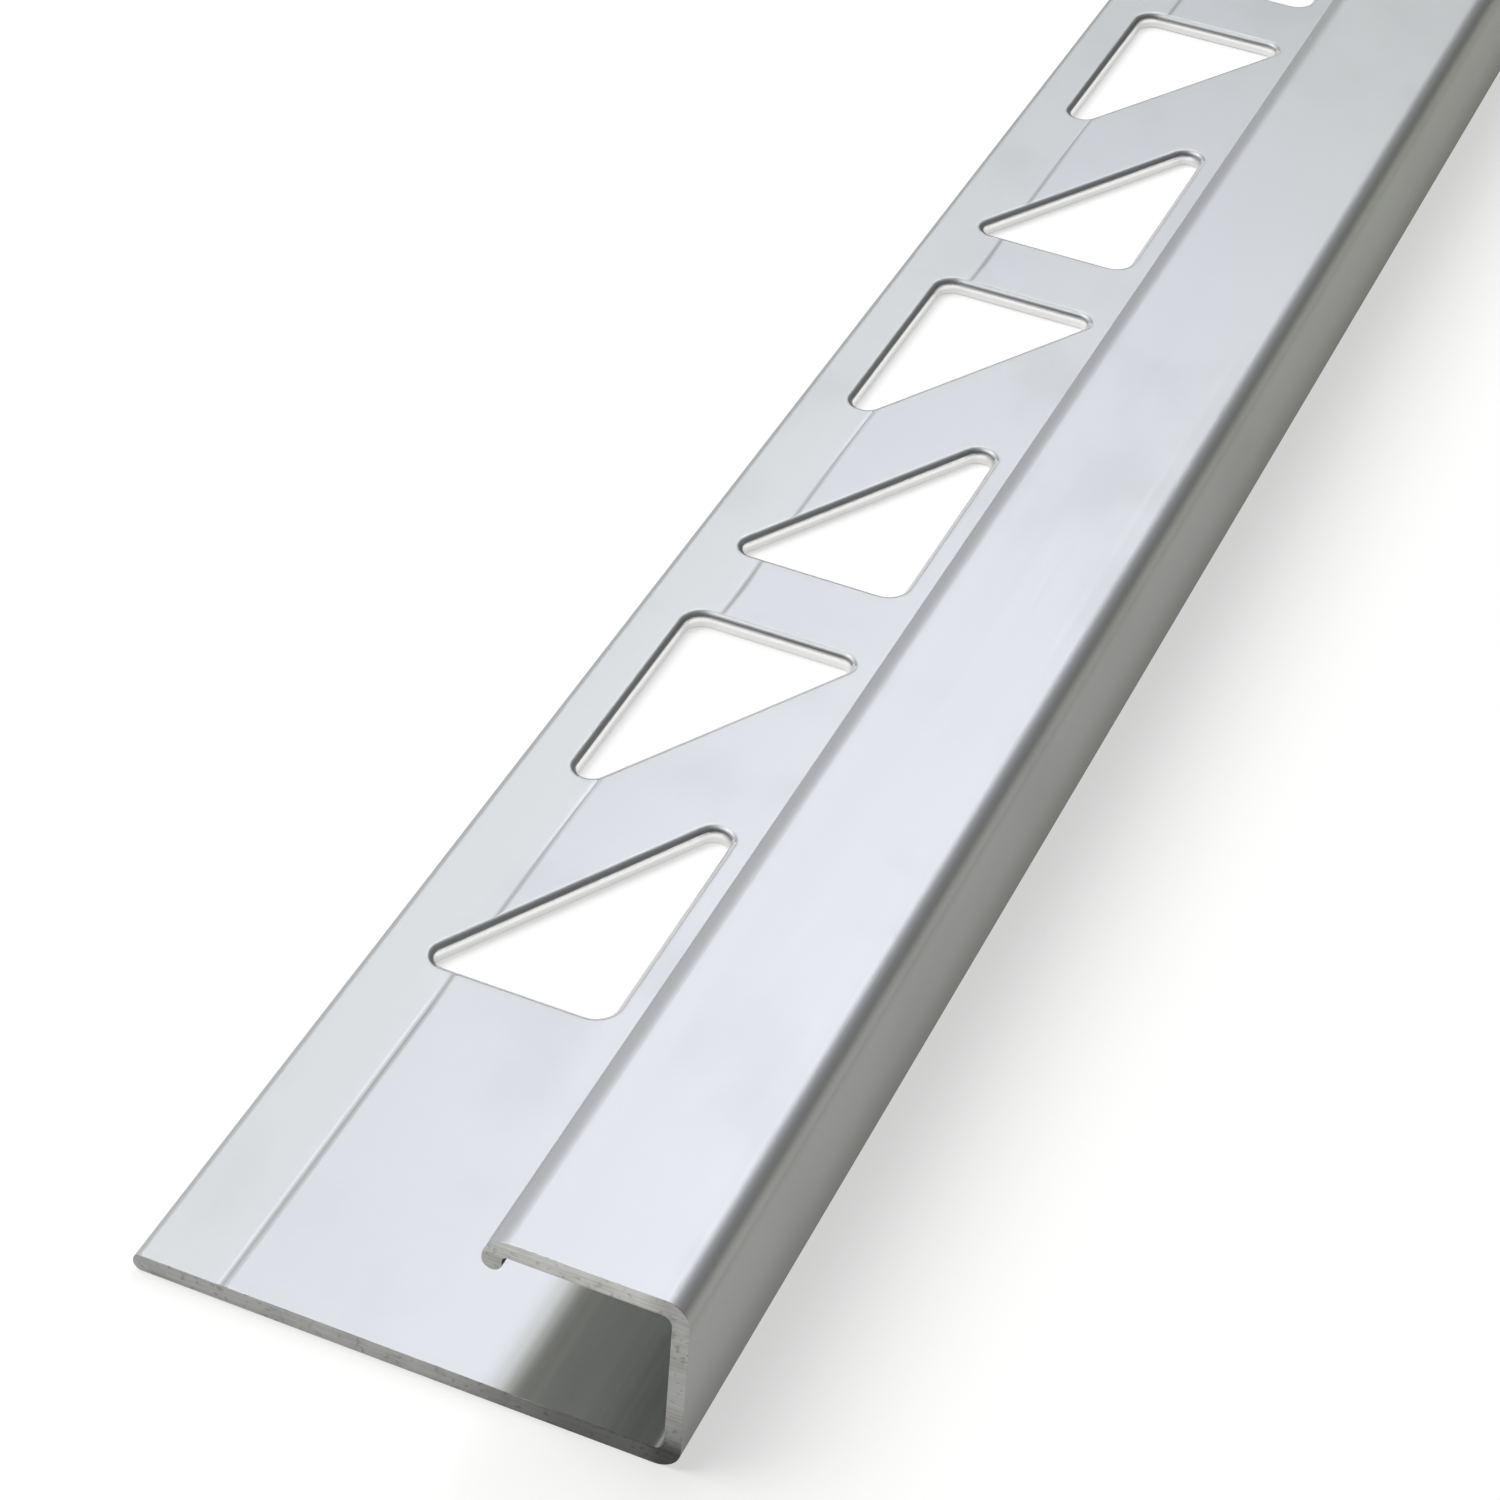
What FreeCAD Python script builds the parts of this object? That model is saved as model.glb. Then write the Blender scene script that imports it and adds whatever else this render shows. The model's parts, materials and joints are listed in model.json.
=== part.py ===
import FreeCAD, Part
import os
from math import sin, tan

# Square-edge tile trim, cut from one extruded aluminium bar.
# A punched leg is bedded under the tiles, a wall covers their cut edge, and a face with a
# down-turned lip finishes level with them. The bar lies along Y on the leg's underside, Z = 0,
# with its leg towards -X. The origin is under the middle of the bar.

# The bar, millimetres
trim_length = 1000.0
trim_width = 26.4
trim_height = 10.0
face_width = 9.5

# Metal thicknesses
leg_thickness = 0.95
wall_thickness = 0.8
face_thickness = 0.92

# The lip that turns down along the front of the face
lip_width = 0.95
lip_drop = 0.95
lip_shoulder_radius = 1.3
lip_root_radius = 0.25

# Corners of the section
outer_corner_radius = 1.2
inner_corner_radius = 0.5
leg_edge_radius = 0.45

# The fine score line along the top of the leg
score_from_leg_edge = 4.45
score_width = 0.5
score_depth = 0.03

# The punched triangles: each pair is one right triangle and the same one turned half round
punch_pitch = 37.4
pair_length = 31.3
pair_centre_from_leg_edge = 7.6
pair_side_from_centre = 4.7
hole_across = 9.9
hole_along = 17.3
hole_square_radius = 1.1
hole_tip_radius = 0.75
first_hole_from_end = 23.0
least_end_margin = 23.0
punch_overrun = 1.0

# Places that follow from the sizes
leg_edge_x = -trim_width / 2
wall_outer_x = trim_width / 2
wall_inner_x = wall_outer_x - wall_thickness
near_end_y = -trim_length / 2
far_end_y = trim_length / 2
face_underside_z = trim_height - face_thickness
lip_front_x = wall_outer_x - face_width
lip_back_x = lip_front_x + lip_width
lip_tip_z = face_underside_z - lip_drop
lip_tip_radius = lip_width / 2
pair_centre_x = leg_edge_x + pair_centre_from_leg_edge
score_x = leg_edge_x + score_from_leg_edge
tiny = 1e-6


def corner_arc(before, corner, after, radius):
    """The start, middle and end of the arc that rounds one corner of an outline."""
    arm_in = (before - corner).normalize()
    arm_out = (after - corner).normalize()
    half_angle = arm_in.getAngle(arm_out) / 2
    reach = radius / tan(half_angle)
    bisector = (arm_in + arm_out).normalize()
    centre = corner + bisector * (radius / sin(half_angle))
    return corner + arm_in * reach, centre - bisector * radius, corner + arm_out * reach


def rounded_face(corners):
    """A flat face from corner points, each with the radius that rounds it."""
    count = len(corners)
    arcs = []
    for index, (point, radius) in enumerate(corners):
        before = corners[index - 1][0]
        after = corners[(index + 1) % count][0]
        arcs.append(corner_arc(before, point, after, radius) if radius > 0 else (point,) * 3)
    edges = []
    for index, (start, middle, end) in enumerate(arcs):
        last_end = arcs[index - 1][2]
        if last_end.distanceToPoint(start) > tiny:
            edges.append(Part.makeLine(last_end, start))
        if start.distanceToPoint(end) > tiny:
            edges.append(Part.Arc(start, middle, end).toShape())
    return Part.Face(Part.Wire(edges))


def section_face():
    """The extruded section, in the plane of the near end."""
    shoulder_radius = min(lip_shoulder_radius, trim_height - lip_tip_z - lip_tip_radius)
    corners_xz = [
        (leg_edge_x, 0, leg_edge_radius),
        (wall_outer_x, 0, outer_corner_radius),
        (wall_outer_x, trim_height, outer_corner_radius),
        (lip_front_x, trim_height, shoulder_radius),
        (lip_front_x, lip_tip_z, lip_tip_radius),
        (lip_back_x, lip_tip_z, lip_tip_radius),
        (lip_back_x, face_underside_z, lip_root_radius),
        (wall_inner_x, face_underside_z, inner_corner_radius),
        (wall_inner_x, leg_thickness, inner_corner_radius),
        (score_x + score_width / 2, leg_thickness, 0),
        (score_x, leg_thickness - score_depth, 0),
        (score_x - score_width / 2, leg_thickness, 0),
        (leg_edge_x, leg_thickness, leg_edge_radius),
    ]
    return rounded_face([(FreeCAD.Vector(x, near_end_y, z), radius) for x, z, radius in corners_xz])


def triangle_punch(square_corner_x, near_side_y):
    """The punch for a hole whose square corner is near the wall and near the bar's near end."""
    bottom_z = -punch_overrun
    corners_xy = [
        (square_corner_x, near_side_y, hole_square_radius),
        (square_corner_x, near_side_y + hole_along, hole_tip_radius),
        (square_corner_x - hole_across, near_side_y, hole_tip_radius),
    ]
    outline = rounded_face([(FreeCAD.Vector(x, y, bottom_z), radius) for x, y, radius in corners_xy])
    return outline.extrude(FreeCAD.Vector(0, 0, leg_thickness + 2 * punch_overrun))


def punches():
    """Every triangle along the leg, near one and turned one by turns, while they fit."""
    near_punch = triangle_punch(pair_centre_x + pair_side_from_centre, 0)
    turned_punch = near_punch.copy()
    turned_punch.rotate(FreeCAD.Vector(pair_centre_x, pair_length / 2, 0), FreeCAD.Vector(0, 0, 1), 180)
    tools = []
    pair_y = near_end_y + first_hole_from_end
    while pair_y + hole_along <= far_end_y - least_end_margin:
        tools.append(near_punch.translated(FreeCAD.Vector(0, pair_y, 0)))
        if pair_y + pair_length <= far_end_y - least_end_margin:
            tools.append(turned_punch.translated(FreeCAD.Vector(0, pair_y, 0)))
        pair_y += punch_pitch
    return tools


def trim_profile():
    """The whole bar: the section run out to its length, less the punched holes."""
    bar = section_face().extrude(FreeCAD.Vector(0, trim_length, 0))
    tools = punches()
    return (bar.cut(tools) if tools else bar), len(tools)


profile, hole_count = trim_profile()
os.makedirs("parts", exist_ok=True)
profile.exportStep("parts/trim_profile.step")
print("holes", hole_count, "valid", profile.isValid(), "solids", len(profile.Solids),
      "faces", len(profile.Faces), "volume", round(profile.Volume, 1))
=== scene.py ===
import json
import math

import bmesh
import bpy
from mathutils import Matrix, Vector

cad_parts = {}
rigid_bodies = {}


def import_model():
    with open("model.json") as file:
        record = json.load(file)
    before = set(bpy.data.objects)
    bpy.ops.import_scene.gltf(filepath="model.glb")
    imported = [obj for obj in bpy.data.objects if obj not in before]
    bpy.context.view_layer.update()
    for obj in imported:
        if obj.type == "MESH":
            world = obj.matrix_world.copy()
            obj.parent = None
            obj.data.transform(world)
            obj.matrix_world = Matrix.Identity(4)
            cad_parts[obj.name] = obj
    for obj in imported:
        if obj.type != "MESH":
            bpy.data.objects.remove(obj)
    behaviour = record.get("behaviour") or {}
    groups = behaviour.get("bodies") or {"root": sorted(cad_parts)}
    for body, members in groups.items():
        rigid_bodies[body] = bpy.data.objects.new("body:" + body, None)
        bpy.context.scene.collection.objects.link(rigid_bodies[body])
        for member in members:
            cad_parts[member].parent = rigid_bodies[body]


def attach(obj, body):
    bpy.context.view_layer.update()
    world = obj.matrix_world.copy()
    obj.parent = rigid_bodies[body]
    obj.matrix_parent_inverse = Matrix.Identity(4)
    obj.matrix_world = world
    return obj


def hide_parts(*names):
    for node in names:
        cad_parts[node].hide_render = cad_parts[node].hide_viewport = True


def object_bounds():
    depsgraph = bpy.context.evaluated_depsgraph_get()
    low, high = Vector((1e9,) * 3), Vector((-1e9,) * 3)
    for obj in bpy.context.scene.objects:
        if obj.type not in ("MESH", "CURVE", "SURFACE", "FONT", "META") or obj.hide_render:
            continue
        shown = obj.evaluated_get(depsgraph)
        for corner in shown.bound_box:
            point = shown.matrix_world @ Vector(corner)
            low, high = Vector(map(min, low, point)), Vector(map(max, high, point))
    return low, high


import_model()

cadLow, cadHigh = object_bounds()
mm = 0.001
snap = 0.002 * mm  # points nearer than this are one point
cutSlack = 0.0001 * mm
nearEnd, farEnd = cadLow.y, cadHigh.y

# sizes in millimetres, from the leg's free edge and the leg's underside
trim = {
    "legThickness": 0.95,
    "wallThickness": 0.8,
    "faceThickness": 0.92,
    "faceWidth": 9.5,
    "lipWidth": 0.95,
    "lipDrop": 0.95,
    "outerCorner": 1.2,
    "innerCorner": 0.5,
    "lipShoulder": 1.3,
    "lipRoot": 0.25,
    "legEdge": 0.45,
    "scorePlace": 4.45,
    "scoreWidth": 0.5,
    "scoreDepth": 0.03,
    "rimRoll": 0.46,  # edge that the punch rolled in, round the top of the holes
    "rimBurr": 0.05,  # and its edge underneath
    "sawnRound": 0.03,  # deburred edge of the sawn ends
    "smoothBelow": 35,  # degrees
}


def startClean():
    if bpy.context.object and bpy.context.object.mode != "OBJECT":
        bpy.ops.object.mode_set(mode="OBJECT")
    bpy.ops.object.select_all(action="DESELECT")


def makeActive(piece):
    startClean()
    piece.select_set(True)
    bpy.context.view_layer.objects.active = piece


def openForEditing(piece):
    makeActive(piece)
    bpy.ops.object.mode_set(mode="EDIT")


def closeEditing():
    bpy.ops.object.mode_set(mode="OBJECT")


def pickFaces(piece, wanted):
    bpy.ops.mesh.select_mode(type="FACE")
    bpy.ops.mesh.select_all(action="DESELECT")
    shape = bmesh.from_edit_mesh(piece.data)
    for face in shape.faces:
        face.select_set(wanted(face.calc_center_median(), face.normal))
    bmesh.update_edit_mesh(piece.data)


def pickEdges(piece, wanted):
    bpy.ops.mesh.select_mode(type="EDGE")
    bpy.ops.mesh.select_all(action="DESELECT")
    shape = bmesh.from_edit_mesh(piece.data)
    for edge in shape.edges:
        edge.select_set(wanted(edge))
    bmesh.update_edit_mesh(piece.data)


def near(a, b, slack=snap):
    return abs(a - b) < slack


def pull(x=0.0, z=0.0):
    bpy.ops.mesh.extrude_region_move(TRANSFORM_OT_translate={"value": (x, 0, z)})


def bevelPicked(width, segments, clamp=False):
    bpy.ops.mesh.bevel(offset_type="OFFSET", offset=width, segments=segments, profile=0.5,
                       affect="EDGES", clamp_overlap=clamp)


def roundLongEdge(piece, x, z, radius, segments):
    def runsHere(edge):
        a, b = (v.co for v in edge.verts)
        return all(near(p.x, x) and near(p.z, z) for p in (a, b)) and not near(a.y, b.y)
    pickEdges(piece, runsHere)
    bevelPicked(radius, segments)


# where the section's corners are, in metres
legEdgeX = cadLow.x
wallX = cadHigh.x
wallInX = wallX - trim["wallThickness"] * mm
lipFrontX = wallX - trim["faceWidth"] * mm
lipBackX = lipFrontX + trim["lipWidth"] * mm
floorZ = cadLow.z
legTopZ = floorZ + trim["legThickness"] * mm
topZ = cadHigh.z
undersideZ = topZ - trim["faceThickness"] * mm
lipTipZ = undersideZ - trim["lipDrop"] * mm


def makeBar():
    startClean()
    length = farEnd - nearEnd
    bpy.ops.mesh.primitive_cube_add(
        size=1, location=((wallX + wallInX) / 2, (nearEnd + farEnd) / 2, (floorZ + legTopZ) / 2),
        scale=(wallX - wallInX, length, legTopZ - floorZ))
    bar = bpy.context.object
    bar.name = "anodised_trim"
    bpy.ops.object.transform_apply(location=True, rotation=True, scale=True)
    openForEditing(bar)
    # the leg to the left, the wall up to the face, the face out to the lip, the lip down
    pickFaces(bar, lambda middle, normal: normal.x < -0.9)
    pull(x=legEdgeX - wallInX)
    pickFaces(bar, lambda middle, normal: normal.z > 0.9 and middle.x > wallInX)
    pull(z=undersideZ - legTopZ)
    pull(z=topZ - undersideZ)
    pickFaces(bar, lambda middle, normal: normal.x < -0.9 and middle.z > undersideZ)
    pull(x=lipBackX - wallInX)
    pull(x=lipFrontX - lipBackX)
    pickFaces(bar, lambda middle, normal: normal.z < -0.9 and middle.z > legTopZ and middle.x < lipBackX)
    pull(z=lipTipZ - undersideZ)
    bpy.ops.mesh.select_all(action="SELECT")
    bpy.ops.mesh.dissolve_limited(angle_limit=math.radians(1))
    # each corner's place, radius and steps
    for x, z, radius, segments in (
            (wallX, floorZ, trim["outerCorner"], 10),
            (wallX, topZ, trim["outerCorner"], 12),
            (lipFrontX, topZ, trim["lipShoulder"], 12),
            (lipFrontX, lipTipZ, trim["lipWidth"] / 2, 8),
            (lipBackX, lipTipZ, trim["lipWidth"] / 2, 8),
            (lipBackX, undersideZ, trim["lipRoot"], 5),
            (wallInX, undersideZ, trim["innerCorner"], 6),
            (wallInX, legTopZ, trim["innerCorner"], 6),
            (legEdgeX, floorZ, trim["legEdge"], 7),
            (legEdgeX, legTopZ, trim["legEdge"], 7)):
        roundLongEdge(bar, x, z, radius * mm, segments)
    bpy.ops.mesh.select_all(action="SELECT")
    bpy.ops.mesh.remove_doubles(threshold=snap)
    closeEditing()
    return bar


def scoreLeg(bar):
    openForEditing(bar)
    scoreX = legEdgeX + trim["scorePlace"] * mm
    half = trim["scoreWidth"] * mm / 2
    for x in (scoreX - half, scoreX, scoreX + half):
        bpy.ops.mesh.select_all(action="SELECT")
        bpy.ops.mesh.bisect(plane_co=(x, 0, 0), plane_no=(1, 0, 0), threshold=cutSlack)

    def isOnLine(edge, places):
        a, b = (v.co for v in edge.verts)
        onTop = near(a.z, legTopZ) and near(b.z, legTopZ)
        return onTop and near(a.x, b.x) and any(near(a.x, x) for x in places)
    pickEdges(bar, lambda edge: isOnLine(edge, (scoreX - half, scoreX, scoreX + half)))
    bpy.ops.mesh.mark_sharp()
    pickEdges(bar, lambda edge: isOnLine(edge, (scoreX,)))
    bpy.ops.transform.translate(value=(0, 0, -trim["scoreDepth"] * mm))
    closeEditing()


holes = {
    "pitch": 37.4,
    "pairLength": 31.3,
    "pairCentre": 7.6,  # from the leg's free edge
    "sideFromCentre": 4.7,
    "across": 9.9,
    "along": 17.3,
    "squareRound": 1.1,
    "tipRound": 0.75,
    "firstFromEnd": 23.0,
    "leastMargin": 23.0,
    "overrun": 1.0,
    "arcPoints": 48,
}


def cutWebs(bar):
    # a seam across the middle of each web keeps the punched faces short
    openForEditing(bar)
    web = (holes["pitch"] - holes["pairLength"]) * mm
    y = nearEnd + holes["firstFromEnd"] * mm - web / 2
    while y < farEnd:
        bpy.ops.mesh.select_all(action="SELECT")
        bpy.ops.mesh.bisect(plane_co=(0, y, 0), plane_no=(0, 1, 0), threshold=cutSlack)
        y += holes["pitch"] * mm
    closeEditing()


def makePunch():
    # the rounded triangle is the hull of a small rod in each corner
    startClean()
    across, along = holes["across"], holes["along"]
    squareX = legEdgeX / mm + holes["pairCentre"] + holes["sideFromCentre"]
    nearY = nearEnd / mm + holes["firstFromEnd"]
    square, tip = holes["squareRound"], holes["tipRound"]
    farTip = tip / math.tan(math.atan2(across, along) / 2)  # from the far point to where its arc starts
    sideTip = tip / math.tan(math.atan2(along, across) / 2)
    rods = (
        (squareX - square, nearY + square, square),
        (squareX - tip, nearY + along - farTip, tip),
        (squareX - across + sideTip, nearY + tip, tip))
    depth = trim["legThickness"] + 2 * holes["overrun"]
    for x, y, radius in rods:
        bpy.ops.mesh.primitive_cylinder_add(
            vertices=holes["arcPoints"], radius=radius * mm, depth=depth * mm,
            location=(x * mm, y * mm, floorZ + trim["legThickness"] * mm / 2))
        bpy.context.object.name = "punchRod"
    for rod in [o for o in bpy.data.objects if o.name.startswith("punchRod")]:
        rod.select_set(True)
    bpy.ops.object.join()
    punch = bpy.context.object
    punch.name = "punch"
    bpy.ops.object.transform_apply(location=True, rotation=True, scale=True)
    openForEditing(punch)
    bpy.ops.mesh.select_all(action="SELECT")
    bpy.ops.mesh.convex_hull()
    bpy.ops.mesh.dissolve_limited(angle_limit=math.radians(0.5))
    closeEditing()
    return punch


def turnedPunch(punch):
    makeActive(punch)
    bpy.ops.object.duplicate()
    turned = bpy.context.object
    turned.name = "turnedPunch"
    middle = (legEdgeX + holes["pairCentre"] * mm,
              nearEnd + (holes["firstFromEnd"] + holes["pairLength"] / 2) * mm, 0)
    openForEditing(turned)
    bpy.ops.mesh.select_all(action="SELECT")
    bpy.ops.transform.rotate(value=math.pi, orient_axis="Z", center_override=middle)
    closeEditing()
    return turned


def repeatPunch(punch, count):
    makeActive(punch)
    bpy.ops.object.modifier_add(type="ARRAY")
    row = punch.modifiers[-1]
    row.count = count
    row.use_relative_offset = False
    row.use_constant_offset = True
    row.constant_offset_displace = (0, holes["pitch"] * mm, 0)
    bpy.ops.object.modifier_apply(modifier=row.name)


def punchLeg(bar):
    room = (farEnd - nearEnd) / mm - holes["firstFromEnd"] - holes["leastMargin"]
    nearCount = int((room - holes["along"]) // holes["pitch"]) + 1
    turnedCount = int((room - holes["pairLength"]) // holes["pitch"]) + 1
    punch = makePunch()
    turned = turnedPunch(punch)
    repeatPunch(punch, nearCount)
    repeatPunch(turned, turnedCount)
    for tool in (punch, turned):
        makeActive(bar)
        bpy.ops.object.modifier_add(type="BOOLEAN")
        cut = bar.modifiers[-1]
        cut.operation = "DIFFERENCE"
        cut.solver = "EXACT"
        cut.object = tool
        bpy.ops.object.modifier_apply(modifier=cut.name)
        bpy.data.objects.remove(tool, do_unlink=True)
    print("punched", nearCount + turnedCount, "holes")


def isUpright(face):
    return abs(face.normal.z) < 0.05


def isLevel(face):
    return abs(face.normal.z) > 0.95


def roundRims(bar):
    openForEditing(bar)

    def isRim(edge, z):
        if len(edge.link_faces) != 2:
            return False
        a, b = (v.co for v in edge.verts)
        inLeg = all(nearEnd + mm < p.y < farEnd - mm and legEdgeX + mm < p.x < lipFrontX and near(p.z, z)
                    for p in (a, b))
        one, other = edge.link_faces
        return inLeg and (isUpright(one) and isLevel(other) or isUpright(other) and isLevel(one))
    for z, radius, segments in ((legTopZ, trim["rimRoll"], 6), (floorZ, trim["rimBurr"], 1)):
        pickEdges(bar, lambda edge: isRim(edge, z))
        bevelPicked(radius * mm, segments)

    def isSawn(face):
        return near(abs(face.normal.y), 1, 0.01) and near(abs(face.calc_center_median().y), farEnd)

    def isSawnEdge(edge):
        sawn = [isSawn(face) for face in edge.link_faces]
        return len(sawn) == 2 and sawn[0] != sawn[1]
    pickEdges(bar, isSawnEdge)
    bevelPicked(trim["sawnRound"] * mm, 2, clamp=True)
    closeEditing()


view = {
    "besideBar": 53.05,  # camera, millimetres from the bar's middle line
    "beforeEnd": 105.0,
    "aboveFloor": 130.73,
    "turn": (50.835, -3.491, 23.321),  # degrees
    "lens": 96.26,
    "sensor": 36.0,
    "seesFrom": 0.001,  # metres
    "seesTo": 50,
}


def makeCamera():
    lens = bpy.data.cameras.new("photoCamera")
    camera = bpy.data.objects.new("photoCamera", lens)
    bpy.context.collection.objects.link(camera)
    camera.location = (view["besideBar"] * mm, nearEnd - view["beforeEnd"] * mm,
                       floorZ + view["aboveFloor"] * mm)
    camera.rotation_euler = [math.radians(a) for a in view["turn"]]
    lens.sensor_width = view["sensor"]
    lens.lens = view["lens"]
    lens.clip_start = view["seesFrom"]
    lens.clip_end = view["seesTo"]
    bpy.context.scene.camera = camera


def newMetal(name):
    metal = bpy.data.materials.new(name)
    metal.use_nodes = True
    tree = metal.node_tree
    shader = tree.nodes["Principled BSDF"]
    shader.inputs["Metallic"].default_value = 1.0
    place = tree.nodes.new("ShaderNodeTexCoord").outputs["Object"]
    split = tree.nodes.new("ShaderNodeSeparateXYZ")
    tree.links.new(place, split.inputs[0])
    return metal, tree, shader, place, split.outputs["X"], split.outputs["Z"]


def calc(tree, operation, a, b=None, clamp=False):
    step = tree.nodes.new("ShaderNodeMath")
    step.operation = operation
    step.use_clamp = clamp
    for socket, value in zip(step.inputs, (a, b)):
        if isinstance(value, (int, float)):
            socket.default_value = value
        elif value is not None:
            tree.links.new(value, socket)
    return step.outputs[0]


def ramped(tree, value, low, high, fromLow=0.0, fromHigh=1.0, smooth=True):
    step = tree.nodes.new("ShaderNodeMapRange")
    step.interpolation_type = "SMOOTHSTEP" if smooth else "LINEAR"
    tree.links.new(value, step.inputs["Value"])
    for name, number in (("From Min", fromLow), ("From Max", fromHigh), ("To Min", low), ("To Max", high)):
        step.inputs[name].default_value = number
    return step.outputs[0]


def rise(tree, value, start, end):
    return ramped(tree, value, 0, 1, start, end)


def fall(tree, value, start, end):
    return ramped(tree, value, 1, 0, start, end)


def times(tree, *shares):
    product = shares[0]
    for share in shares[1:]:
        product = calc(tree, "MULTIPLY", product, share)
    return product


def speckle(tree, place, cell, detail=2.0, lean=0.0, offset=(0, 0, 0)):
    # noise whose cells measure so many millimetres along x, y and z
    lay = tree.nodes.new("ShaderNodeMapping")
    lay.inputs["Location"].default_value = offset
    lay.inputs["Rotation"].default_value = (0, math.radians(lean), 0)
    lay.inputs["Scale"].default_value = [1 / (size * mm) for size in cell]
    tree.links.new(place, lay.inputs["Vector"])
    noise = tree.nodes.new("ShaderNodeTexNoise")
    noise.inputs["Scale"].default_value = 1.0
    noise.inputs["Detail"].default_value = detail
    tree.links.new(lay.outputs[0], noise.inputs["Vector"])
    return noise.outputs[0]


def blend(tree, factor, a, b):
    mix = tree.nodes.new("ShaderNodeMix")
    mix.data_type = "RGBA"
    tree.links.new(factor, mix.inputs["Factor"])
    for name, value in (("A", a), ("B", b)):
        socket = [i for i in mix.inputs if i.name == name and i.type == "RGBA"][0]
        if isinstance(value, tuple):
            socket.default_value = value
        else:
            tree.links.new(value, socket)
    return [o for o in mix.outputs if o.type == "RGBA"][0]


def dim(tree, colour, factor):
    mix = tree.nodes.new("ShaderNodeVectorMath")
    mix.operation = "SCALE"
    tree.links.new(colour, mix.inputs[0])
    tree.links.new(factor, mix.inputs["Scale"])
    return mix.outputs[0]


def tinted(tree, colour, tint):
    mix = tree.nodes.new("ShaderNodeVectorMath")
    mix.operation = "MULTIPLY"
    tree.links.new(colour, mix.inputs[0])
    tree.links.new(tint, mix.inputs[1])
    return mix.outputs[0]


def toned(tree, colour, share, tone):
    return tinted(tree, colour, blend(tree, share, (1, 1, 1, 1), tone))


def relief(tree, shader, height, depth):
    bump = tree.nodes.new("ShaderNodeBump")
    bump.inputs["Strength"].default_value = 1.0
    bump.inputs["Distance"].default_value = depth * mm
    tree.links.new(height, bump.inputs["Height"])
    tree.links.new(bump.outputs[0], shader.inputs["Normal"])


studio = {
    "floorSize": 6.0,
    "floorDrop": 0.02,  # millimetres under the trim
    "floorColour": (0.52, 0.517, 0.508, 1),
    "floorRoughness": 0.9,
    "floorLift": 0.55,  # keeps the lit floor white for the camera and in the metal
    "leftSky": (0.60, 0.605, 0.61, 1),  # beside the leg
    "middleSky": (0.22, 0.22, 0.22, 1),
    "rightSky": (0.17, 0.17, 0.165, 1),  # beside the wall
    "skyPlaces": (0.3, 0.5, 0.85),  # of the way from the left to the right
    "darkBehind": 0.5,  # what is left of the sky behind the camera
    "behindTo": -0.6,  # where that ends, along the bar
    "aheadFrom": 0.3,
    "backdrop": (0.86, 0.86, 0.855, 1),  # what shows beyond the floor
}


def makeFloor():
    bpy.ops.mesh.primitive_plane_add(
        size=studio["floorSize"], location=(0, 0, floorZ - studio["floorDrop"] * mm))
    floor = bpy.context.object
    floor.name = "floor"
    paint = bpy.data.materials.new("floorPaint")
    paint.use_nodes = True
    tree = paint.node_tree
    shader = tree.nodes["Principled BSDF"]
    shader.inputs["Base Color"].default_value = studio["floorColour"]
    shader.inputs["Roughness"].default_value = studio["floorRoughness"]
    shader.inputs["Specular IOR Level"].default_value = 0.0
    shader.inputs["Emission Color"].default_value = (1, 1, 1, 1)
    path = tree.nodes.new("ShaderNodeLightPath")
    seen = calc(tree, "MAXIMUM", path.outputs["Is Camera Ray"], path.outputs["Is Glossy Ray"])
    seen = calc(tree, "MAXIMUM", seen, path.outputs["Is Transmission Ray"])
    tree.links.new(calc(tree, "MULTIPLY", seen, studio["floorLift"]), shader.inputs["Emission Strength"])
    floor.data.materials.append(paint)


def makeSky():
    world = bpy.data.worlds.new("softRoom")
    bpy.context.scene.world = world
    world.use_nodes = True
    tree = world.node_tree
    sky = tree.nodes["Background"]
    place = tree.nodes.new("ShaderNodeTexCoord")
    split = tree.nodes.new("ShaderNodeSeparateXYZ")
    tree.links.new(place.outputs["Generated"], split.inputs[0])
    ramp = tree.nodes.new("ShaderNodeValToRGB")
    leftPlace, middlePlace, rightPlace = studio["skyPlaces"]
    ramp.color_ramp.elements[0].position = leftPlace
    ramp.color_ramp.elements[0].color = studio["leftSky"]
    ramp.color_ramp.elements[1].position = rightPlace
    ramp.color_ramp.elements[1].color = studio["rightSky"]
    ramp.color_ramp.elements.new(middlePlace).color = studio["middleSky"]
    tree.links.new(ramped(tree, split.outputs["X"], 0, 1, -1, 1, smooth=False), ramp.inputs[0])
    tree.links.new(ramp.outputs[0], sky.inputs["Color"])
    ahead = ramped(tree, split.outputs["Y"], studio["darkBehind"], 1.0,
                   studio["behindTo"], studio["aheadFrom"])
    tree.links.new(ahead, sky.inputs["Strength"])

    # only the camera sees the backdrop, and the metal keeps the sky
    backdrop = tree.nodes.new("ShaderNodeBackground")
    backdrop.inputs["Color"].default_value = studio["backdrop"]
    path = tree.nodes.new("ShaderNodeLightPath")
    choose = tree.nodes.new("ShaderNodeMixShader")
    tree.links.new(path.outputs["Is Camera Ray"], choose.inputs[0])
    tree.links.new(sky.outputs[0], choose.inputs[1])
    tree.links.new(backdrop.outputs[0], choose.inputs[2])
    tree.links.new(choose.outputs[0], tree.nodes["World Output"].inputs["Surface"])


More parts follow.
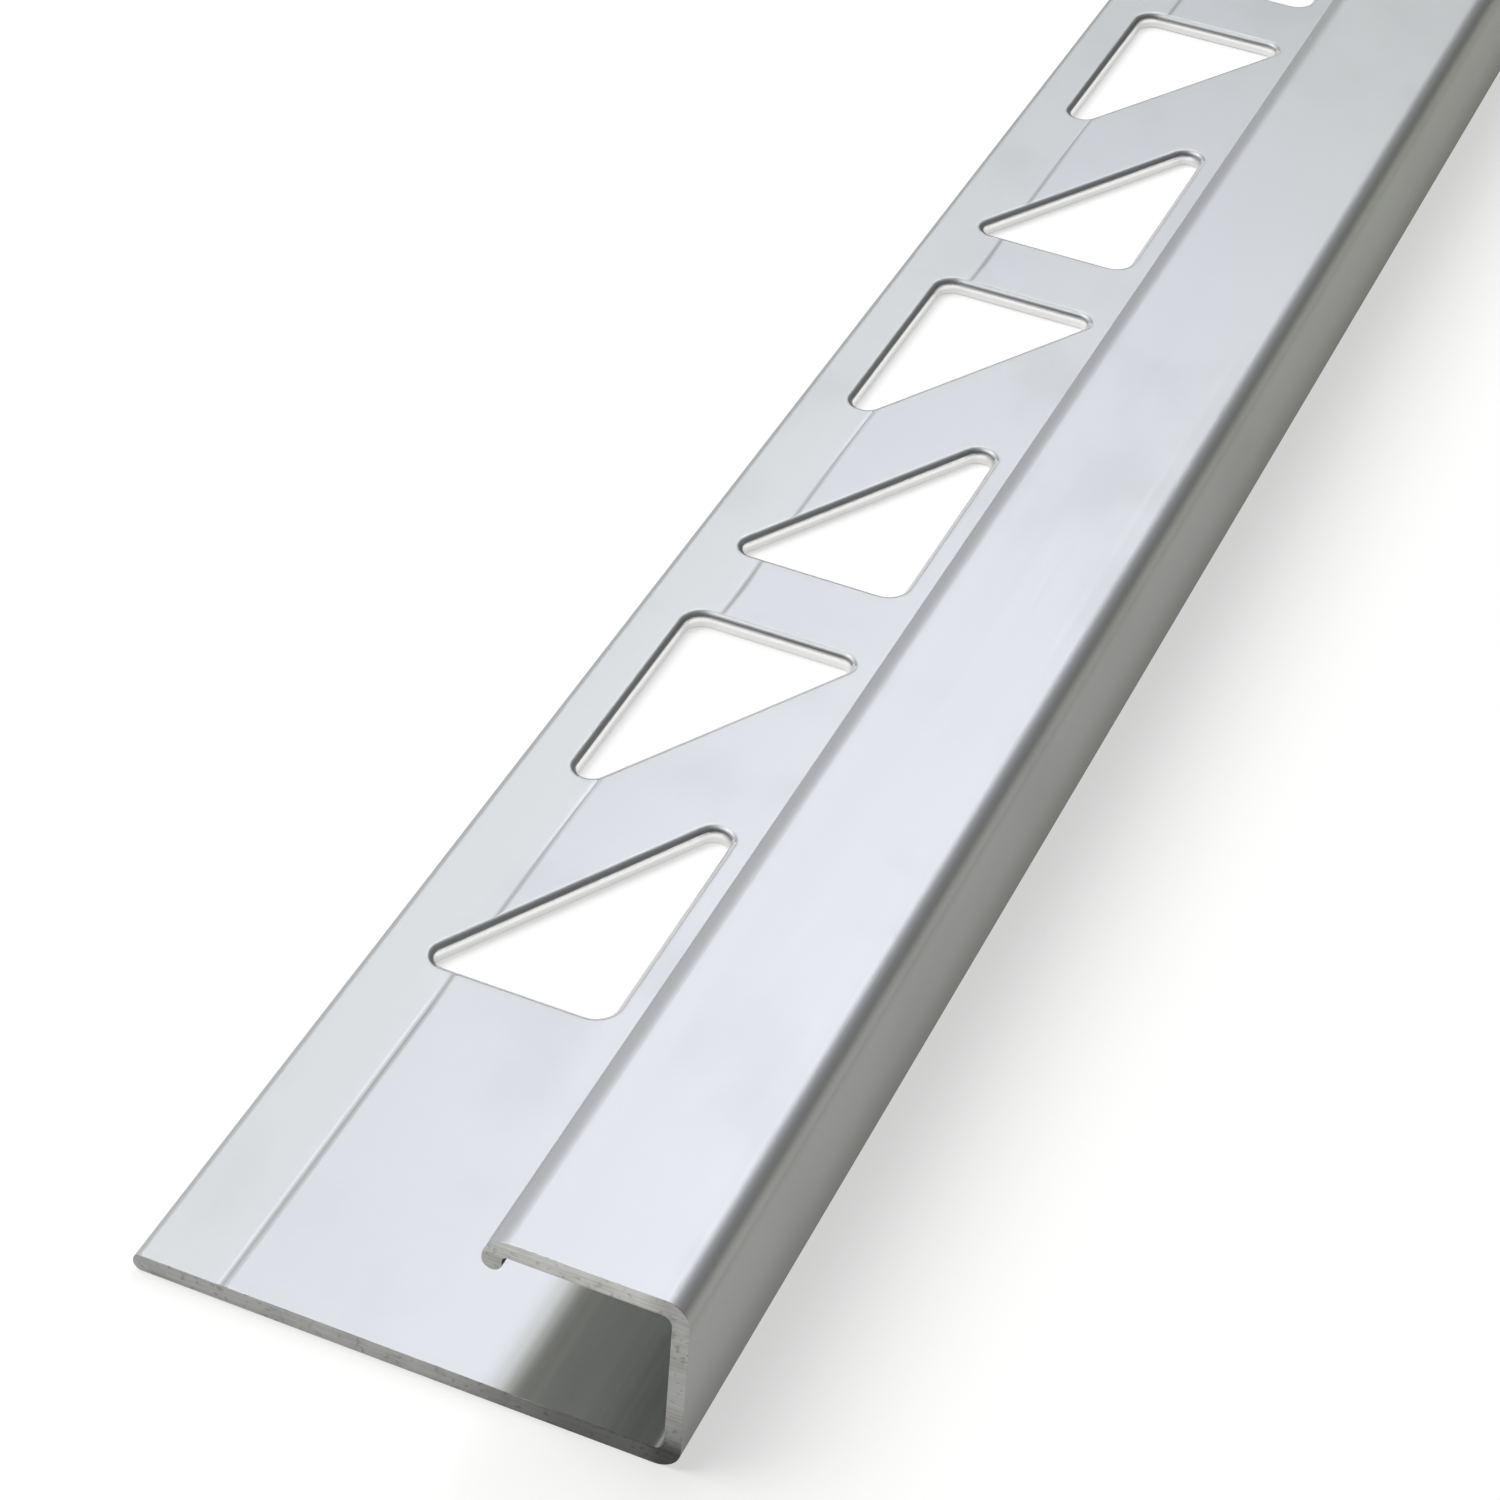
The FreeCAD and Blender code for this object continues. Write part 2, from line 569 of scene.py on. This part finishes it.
# the lamps: bearing from the bar's far direction, towards the wall's side, and height, in degrees
lamps = {
    "softBox": {
        "turn": -10.0,
        "rise": 54.3,
        "size": (0.48, 1.8),
        "glow": 5.4,
        "tint": (0.985, 1.0, 1.02),
    },
    "sideLight": {
        "turn": -105.0,
        "rise": 60.0,
        "size": (2.0, 1.6),
        "glow": 4.4,
        "tint": (1, 1, 1),
    },
}
lampDistance = 2.6
lampsPastEnd = 0.2  # they aim this far past the near end, in metres


def makeLamps():
    for name, lamp in lamps.items():
        light = bpy.data.lights.new(name, "AREA")
        light.shape = "RECTANGLE"
        light.size, light.size_y = lamp["size"]
        light.color = lamp["tint"]
        # an area lamp's glow is its power over pi times its area
        light.energy = math.pi * lamp["glow"] * light.size * light.size_y
        box = bpy.data.objects.new(name, light)
        bpy.context.collection.objects.link(box)
        turn, height = math.radians(lamp["turn"]), math.radians(lamp["rise"])
        aim = Vector((math.sin(turn) * math.cos(height), math.cos(turn) * math.cos(height), math.sin(height)))
        box.location = Vector((0, nearEnd + lampsPastEnd, 0)) + aim * lampDistance
        box.rotation_euler = (-aim).to_track_quat("-Z", "Y").to_euler()
        box.visible_camera = False


def makeStudio():
    bpy.context.scene.view_settings.view_transform = "Standard"
    startClean()
    makeFloor()
    makeSky()
    makeLamps()


# places and sizes in millimetres; a band is the part of a noise over which it takes effect
finish = {
    "coolMetal": (0.600, 0.610, 0.638, 1),
    "greenMetal": (0.616, 0.632, 0.624, 1),
    "roughness": 0.455,
    "grazing": (0.55, 0.55, 0.54, 1),  # what the satin keeps of its shine where it is seen edge on
    "acrossLines": 0.45,  # how much more the die lines blur across than along
    "lineSpacing": 0.16,
    "lineLength": 160.0,
    "lineBand": (0.3, 0.7),
    "lineShade": 0.008,
    "lineGloss": 0.015,
    "lineRelief": 0.0025,
    "lineShare": 0.7,  # of the relief, and the grain has the rest
    "grainShare": 0.3,
    "grainSize": 0.11,
    "smudgeSize": 8.0,
    "smudgeStretch": 1.5,
    "smudgeBand": (0.48, 0.72),
    "smudgeDepth": 0.04,
    "smudgeGloss": 0.015,
    "toneSize": 42.0,
    "toneStretch": 2,
    "toneOffset": (3, 5, 1),
    "toneBand": (0.45, 0.65),
    "toneGreen": 0.7,
    "stripGreen": 0.55,
    "stripFade": (-1.5, 0.8),  # from the score line
    "channelFrom": 16.8,  # from the leg's free edge, where the smoother inside with its painted shade starts
    "channelTo": 18.6,
    "channelFade": (0.1, 0.3),  # at the wall, the face and the leg
    # painted shade inside the channel
    "channelShade": (0.81, 0.81, 0.74, 1),
    "channelRoughness": 0.34,
    "channelLine": 0.8,  # width of the drawn lines in there
    "channelLines": 0.09,
    "channelLineBand": (0.35, 0.65),
    "underLipFrom": 17.9,  # the darkest of the painted shade, a band along the leg under the lip
    "underLipTo": 18.8,
    "underLipBack": 21.5,
    "underLipFade": (0.1, 0.2),  # above the leg
    # painted shade under the lip
    "underLipShade": (0.66, 0.66, 0.64, 1),
    # painted shade on the outside of the wall
    "wallShade": (0.825, 0.825, 0.768, 1),
    "wallFrom": (0.7, 0.3),  # in from the outside of the wall
    "cornerShade": (0.85, 0.85, 0.84, 1),  # painted shade under the turn from the face to the wall
    "cornerFrom": (2.2, 0.8),  # under the top
    "cornerTo": (0.45, 0.2),
    "footShade": (0.78, 0.78, 0.76, 1),  # painted shade along the foot of the wall
    "footFade": (0.5, 5.0),
    "scoreTone": (1.0, 1.0, 0.99, 1),
    "scoreCore": 0.3,  # of half the line's width
    "rollShade": (0.64, 0.64, 0.63, 1),  # painted shade where the metal turns down at the holes
    "rollFrom": 0.004,  # under the top of the leg
    "rollTo": 0.03,
    "rimsFrom": (0.6, 1.2),  # from the leg's free edge
    "rimsTo": (2, 1),  # before the lip
}


def makeSatin():
    metal, tree, shader, place, x, z = newMetal("satinAnodised")
    shader.inputs["Specular Tint"].default_value = finish["grazing"]
    shader.inputs["Anisotropic"].default_value = finish["acrossLines"]
    around = tree.nodes.new("ShaderNodeTangent")
    around.direction_type = "RADIAL"
    around.axis = "Y"
    tree.links.new(around.outputs[0], shader.inputs["Tangent"])

    spacing, length = finish["lineSpacing"], finish["lineLength"]
    lines = speckle(tree, place, (spacing, length, spacing), detail=3.0)
    grain = speckle(tree, place, (finish["grainSize"],) * 3)
    size = finish["smudgeSize"]
    smudge = speckle(tree, place, (size, size * finish["smudgeStretch"], size), detail=3.0)
    smudge = rise(tree, smudge, *finish["smudgeBand"])
    size = finish["toneSize"]
    tone = speckle(tree, place, (size, size * finish["toneStretch"], size), detail=1.0,
                   offset=finish["toneOffset"])

    # the strip outside the score line is a little greener
    scoreX = legEdgeX + trim["scorePlace"] * mm
    stripFrom, stripTo = (scoreX + fade * mm for fade in finish["stripFade"])
    strip = ramped(tree, x, finish["stripGreen"], 0.0, stripFrom, stripTo)
    green = ramped(tree, tone, 0, finish["toneGreen"], *finish["toneBand"])
    green = calc(tree, "ADD", green, strip, clamp=True)
    colour = blend(tree, green, finish["coolMetal"], finish["greenMetal"])
    marked = ramped(tree, smudge, 1, 1 - finish["smudgeDepth"], smooth=False)
    shade = finish["lineShade"]
    streaked = ramped(tree, lines, 1 - shade, 1 + shade, *finish["lineBand"], smooth=False)
    shaded = dim(tree, colour, times(tree, marked, streaked))

    # painted shade inside the channel, where the drawn lines are also broader
    fromX, toX = (legEdgeX + finish[key] * mm for key in ("channelFrom", "channelTo"))
    little, more = (fade * mm for fade in finish["channelFade"])
    inside = times(tree, rise(tree, x, fromX, toX), fall(tree, x, wallInX + little, wallInX + more),
                   fall(tree, z, undersideZ + little, undersideZ + more),
                   rise(tree, z, legTopZ - more, legTopZ - little))
    shaded = toned(tree, shaded, inside, finish["channelShade"])
    wide, depth = finish["channelLine"], finish["channelLines"]
    drawn = speckle(tree, place, (wide, length, wide))
    drawn = ramped(tree, drawn, -depth, depth, *finish["channelLineBand"], smooth=False)
    shaded = dim(tree, shaded, calc(tree, "ADD", times(tree, drawn, inside), 1.0))

    # painted shade, darkest in a band along the leg under the lip
    bandKeys = ("underLipFrom", "underLipTo", "underLipBack")
    fromX, toX, backX = (legEdgeX + finish[key] * mm for key in bandKeys)
    little, more = (fade * mm for fade in finish["underLipFade"])
    underLip = times(tree, rise(tree, x, fromX, toX), fall(tree, x, toX, backX),
                     fall(tree, z, legTopZ + little, legTopZ + more))
    shaded = toned(tree, shaded, underLip, finish["underLipShade"])

    # the score line has a tone of its own, and the turned-down rims of the holes get painted shade
    half = trim["scoreWidth"] * mm / 2
    core = finish["scoreCore"] * half
    onScore = times(tree, rise(tree, x, scoreX - half, scoreX - core),
                    fall(tree, x, scoreX + core, scoreX + half))
    shaded = toned(tree, shaded, onScore, finish["scoreTone"])
    fromX, fullX = (legEdgeX + inward * mm for inward in finish["rimsFrom"])
    lastX, toX = (lipFrontX - before * mm for before in finish["rimsTo"])
    rolled = times(tree, rise(tree, x, fromX, fullX), fall(tree, x, lastX, toX),
                   fall(tree, z, legTopZ - finish["rollTo"] * mm, legTopZ - finish["rollFrom"] * mm))
    shaded = toned(tree, shaded, rolled, finish["rollShade"])

    # painted shade on the outside of the wall, deeper under its corner and along its foot
    outside = rise(tree, x, *(wallX - deep * mm for deep in finish["wallFrom"]))
    underCorner = times(tree, rise(tree, z, *(topZ - low * mm for low in finish["cornerFrom"])),
                        fall(tree, z, *(topZ - low * mm for low in finish["cornerTo"])))
    foot = fall(tree, z, *(floorZ + high * mm for high in finish["footFade"]))
    shaded = toned(tree, shaded, outside, finish["wallShade"])
    shaded = toned(tree, shaded, times(tree, outside, underCorner), finish["cornerShade"])
    shaded = toned(tree, shaded, times(tree, outside, foot), finish["footShade"])
    tree.links.new(shaded, shader.inputs["Base Color"])

    gloss = finish["lineGloss"]
    smear = ramped(tree, smudge, 0, finish["smudgeGloss"], smooth=False)
    comb = ramped(tree, lines, -gloss, gloss, *finish["lineBand"], smooth=False)
    polish = ramped(tree, inside, finish["roughness"], finish["channelRoughness"], smooth=False)
    rough = calc(tree, "ADD", polish, calc(tree, "ADD", smear, comb))
    tree.links.new(rough, shader.inputs["Roughness"])
    height = calc(tree, "ADD", times(tree, lines, finish["lineShare"]),
                  times(tree, grain, finish["grainShare"]))
    relief(tree, shader, height, finish["lineRelief"])
    return metal


sawnFinish = {
    "metal": (0.405, 0.407, 0.397, 1),
    "darkMetal": (0.32, 0.315, 0.305, 1),
    "roughness": 0.46,
    "wornRougher": 0.14,
    "markSpacing": 0.13,
    "markLength": 60,  # times their spacing
    "markLean": 14.0,  # degrees
    "markBand": (0.35, 0.7),
    "markWear": 0.5,
    "markRelief": 0.012,
    "speckSize": 0.28,
    "speckBand": (0.60, 0.72),
    "speckWear": 0.8,
    "patchSize": 1.4,
    "patchBand": (0.4, 0.7),
    "patchWear": 0.35,
    "legEndShadeFrom": 13.0,  # painted shade along the leg's end, millimetres from its free edge
    "legEndShadeTo": 22.0,
    "legEndShadeHeight": 1.2,
    "legEndShadeDepth": 0.66,
    "wallEndShadeDepth": 0.45,  # painted shade at the foot of the wall's end
    "wallEndShadeHeight": 3,
    "faceEndLight": 1.40,  # painted light on the face's end
    "faceFrom": (-0.2, 0.3),  # from the underside of the face
    "faceFade": 1.5,  # before the wall
}


def makeSawn():
    metal, tree, shader, place, x, z = newMetal("sawnAluminium")
    spacing = sawnFinish["markSpacing"]
    length = spacing * sawnFinish["markLength"]
    marks = speckle(tree, place, (length, length, spacing), lean=sawnFinish["markLean"])
    specks = speckle(tree, place, (sawnFinish["speckSize"],) * 3, detail=1.0)
    specks = rise(tree, specks, *sawnFinish["speckBand"])
    patches = speckle(tree, place, (sawnFinish["patchSize"],) * 3)
    markWear = ramped(tree, marks, 0, sawnFinish["markWear"], *sawnFinish["markBand"])
    patchWear = ramped(tree, patches, 0, sawnFinish["patchWear"], *sawnFinish["patchBand"])
    worn = calc(tree, "ADD", markWear, times(tree, specks, sawnFinish["speckWear"]))
    worn = calc(tree, "ADD", worn, patchWear, clamp=True)
    colour = blend(tree, worn, sawnFinish["metal"], sawnFinish["darkMetal"])

    # painted shade darkens the leg's end towards the wall and the foot of the wall's end, and painted light
    # brightens the face's end
    fromX, toX = (legEdgeX + sawnFinish[key] * mm for key in ("legEndShadeFrom", "legEndShadeTo"))
    along = ramped(tree, x, 0, sawnFinish["legEndShadeDepth"], fromX, toX)
    low = fall(tree, z, legTopZ, legTopZ + sawnFinish["legEndShadeHeight"] * mm)
    endLightAndShade = calc(tree, "SUBTRACT", 1.0, times(tree, along, low))
    wallFootShade = times(tree, ramped(tree, x, 0, sawnFinish["wallEndShadeDepth"], wallInX - mm, wallInX),
                     fall(tree, z, legTopZ, legTopZ + sawnFinish["wallEndShadeHeight"] * mm))
    endLightAndShade = times(tree, endLightAndShade, calc(tree, "SUBTRACT", 1.0, wallFootShade))
    onFace = times(tree, rise(tree, z, *(undersideZ + high * mm for high in sawnFinish["faceFrom"])),
                   fall(tree, x, wallInX - sawnFinish["faceFade"] * mm, wallInX))
    endLightAndShade = times(tree, endLightAndShade, ramped(tree, onFace, 1, sawnFinish["faceEndLight"], smooth=False))
    tree.links.new(dim(tree, colour, endLightAndShade), shader.inputs["Base Color"])
    smoothest = sawnFinish["roughness"]
    rough = ramped(tree, worn, smoothest, smoothest + sawnFinish["wornRougher"])
    tree.links.new(rough, shader.inputs["Roughness"])
    relief(tree, shader, marks, sawnFinish["markRelief"])
    return metal


shearFinish = {
    "cutMetal": (0.94, 0.94, 0.935, 1),
    "tornMetal": (0.86, 0.86, 0.855, 1),
    "roughness": 0.34,
    "wornRougher": 0.2,
    "streakSpacing": 0.14,
    "streakLength": 14,  # times their spacing
    "streakBand": (0.4, 0.7),
    "streakWear": 0.4,
    "streakRelief": 0.012,
    "tornBelow": 0.42,  # of the leg's thickness
    "tornUneven": 0.25,
    "tornFade": (0.04, 0.22),
    "wallLean": 0.5,  # faces more upright than this are the walls of the holes
    "rimLean": 0.25,  # rims that lean this far to the far end or the leg's free edge get the bright punched metal as a painted highlight
}


def makeSheared():
    metal, tree, shader, place, x, z = newMetal("punchedAluminium")
    spacing = shearFinish["streakSpacing"]
    streaks = speckle(tree, place, (spacing, spacing, spacing * shearFinish["streakLength"]))
    tornTop = floorZ + shearFinish["tornBelow"] * trim["legThickness"] * mm
    height = calc(tree, "ADD", z, times(tree, streaks, shearFinish["tornUneven"] * mm))
    torn = fall(tree, height, *(tornTop + fade * mm for fade in shearFinish["tornFade"]))
    streakWear = ramped(tree, streaks, 0, shearFinish["streakWear"], *shearFinish["streakBand"])
    worn = calc(tree, "ADD", torn, streakWear, clamp=True)
    colour = blend(tree, worn, shearFinish["cutMetal"], shearFinish["tornMetal"])
    tree.links.new(colour, shader.inputs["Base Color"])
    smoothest = shearFinish["roughness"]
    rough = ramped(tree, worn, smoothest, smoothest + shearFinish["wornRougher"])
    tree.links.new(rough, shader.inputs["Roughness"])
    relief(tree, shader, streaks, shearFinish["streakRelief"])
    return metal


def paintFaces(bar, slot, wanted):
    openForEditing(bar)
    pickFaces(bar, wanted)
    bar.active_material_index = slot
    bpy.ops.object.material_slot_assign()
    closeEditing()


def isByHoles(middle):
    inLength = abs(middle.y) < farEnd - mm
    return inLength and middle.z < legTopZ and legEdgeX + 0.5 * mm < middle.x < lipFrontX


def isHoleWall(middle, normal):
    return isByHoles(middle) and abs(normal.z) < shearFinish["wallLean"]


# rolled rims leaning to the far end or the leg's free edge, for the painted highlight
def isRimWithPaintedHighlight(middle, normal):
    rolled = middle.z > legTopZ - trim["rimRoll"] * mm and normal.z > 0
    return isByHoles(middle) and rolled and normal.y - normal.x > shearFinish["rimLean"]


def finishBar(bar):
    bar.data.materials.clear()
    for metal in (makeSatin(), makeSawn(), makeSheared()):
        bar.data.materials.append(metal)
    paintFaces(bar, 0, lambda middle, normal: True)
    paintFaces(bar, 1, lambda middle, normal: abs(middle.y) > farEnd - trim["sawnRound"] * mm)
    paintFaces(bar, 2, isHoleWall)
    # painted highlight: the bright punched metal on those rims
    paintFaces(bar, 2, isRimWithPaintedHighlight)


makeCamera()
makeStudio()
print("camera and studio ready")
bar = makeBar()
cutWebs(bar)
print("bar extruded")
punchLeg(bar)
roundRims(bar)
scoreLeg(bar)
makeActive(bar)
bpy.ops.object.shade_smooth_by_angle(angle=math.radians(trim["smoothBelow"]))
bpy.ops.object.modifier_add(type="WEIGHTED_NORMAL")
bar.modifiers[-1].keep_sharp = True
bpy.ops.object.modifier_apply(modifier=bar.modifiers[-1].name)
finishBar(bar)
print("metal finished")
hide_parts("trim_profile")
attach(bar, "root")
print("trim ready:", len(bar.data.polygons), "faces")
